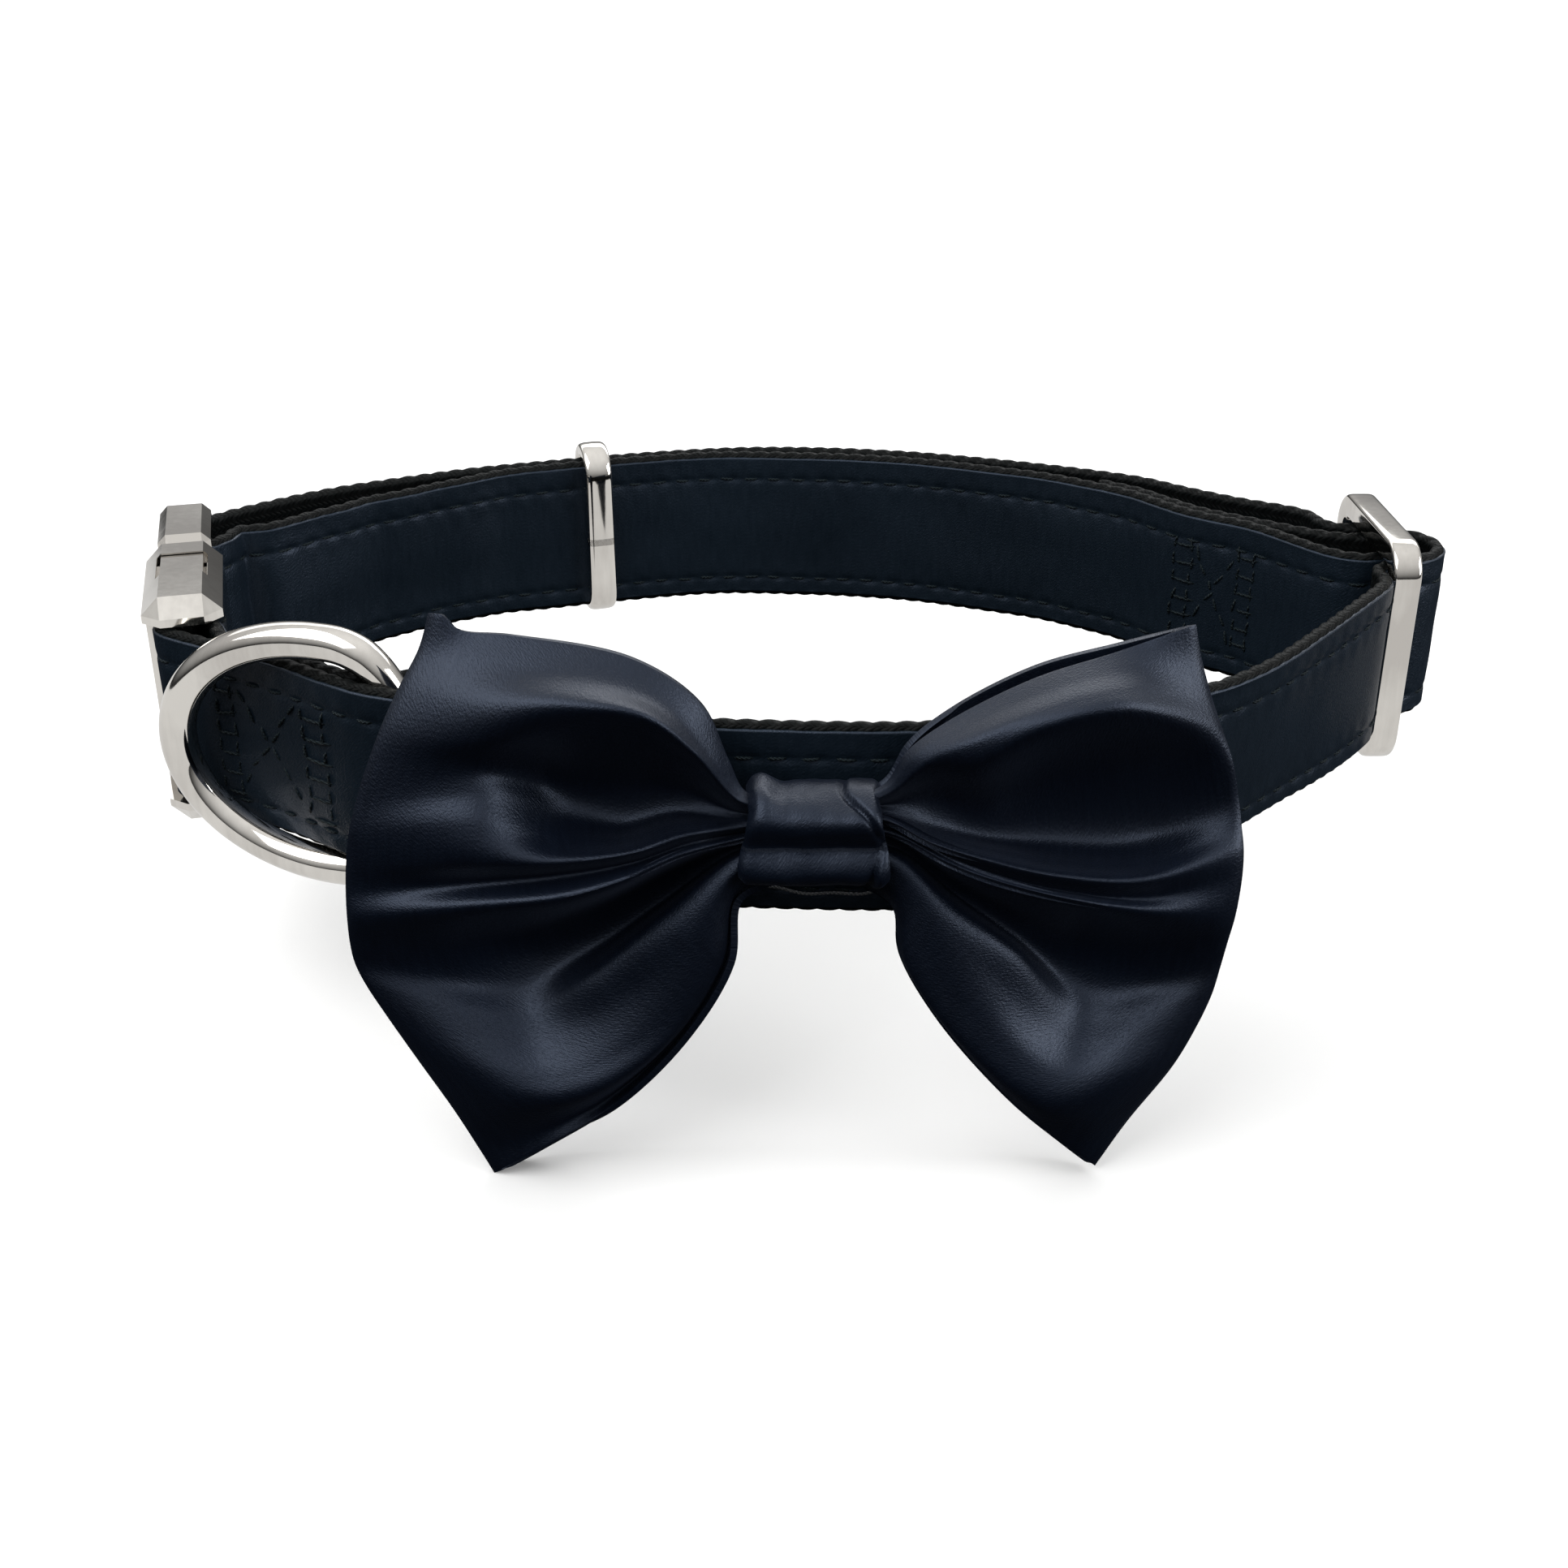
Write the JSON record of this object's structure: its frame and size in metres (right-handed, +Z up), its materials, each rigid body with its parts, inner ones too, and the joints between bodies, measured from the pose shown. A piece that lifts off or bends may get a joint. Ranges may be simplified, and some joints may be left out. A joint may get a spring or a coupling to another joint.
{
  "type": "pet bow tie collar",
  "caption": "Pet collar with a satin bow on a satin-faced webbing strap, a metal side-release buckle, a slider, a keeper loop and a leash ring.",
  "frame": {"origin": "centre of the loop at the middle of the band's height, where the neck goes", "axes": "+Z up through the loop, -Y towards the bow, -X towards the buckle, +X towards the slider"},
  "size_m": [0.1883, 0.1303, 0.0707],
  "materials": {
    "webbing": "black woven nylon webbing",
    "satin": "navy satin, stitched along both edges",
    "bow_satin": "navy satin, soft folds",
    "nickel": "polished nickel"
  },
  "bodies": {
    "collar": {"webbing_strap": "webbing", "satin_facing": "satin", "buckle_socket": "nickel", "buckle_plug": "nickel", "slider_frame": "nickel", "keeper_loop": "nickel", "bow_wing_left": "bow_satin", "bow_wing_right": "bow_satin", "bow_knot": "bow_satin"},
    "ring": {"leash_ring": "nickel"}
  },
  "joints": [
    {"name": "leash_ring_swing", "type": "hinge", "parent": "collar", "child": "ring", "pos_m": [-0.04636, -0.04404, 0], "axis": [0, 0, 1], "range_deg": [0, 80]}
  ]
}
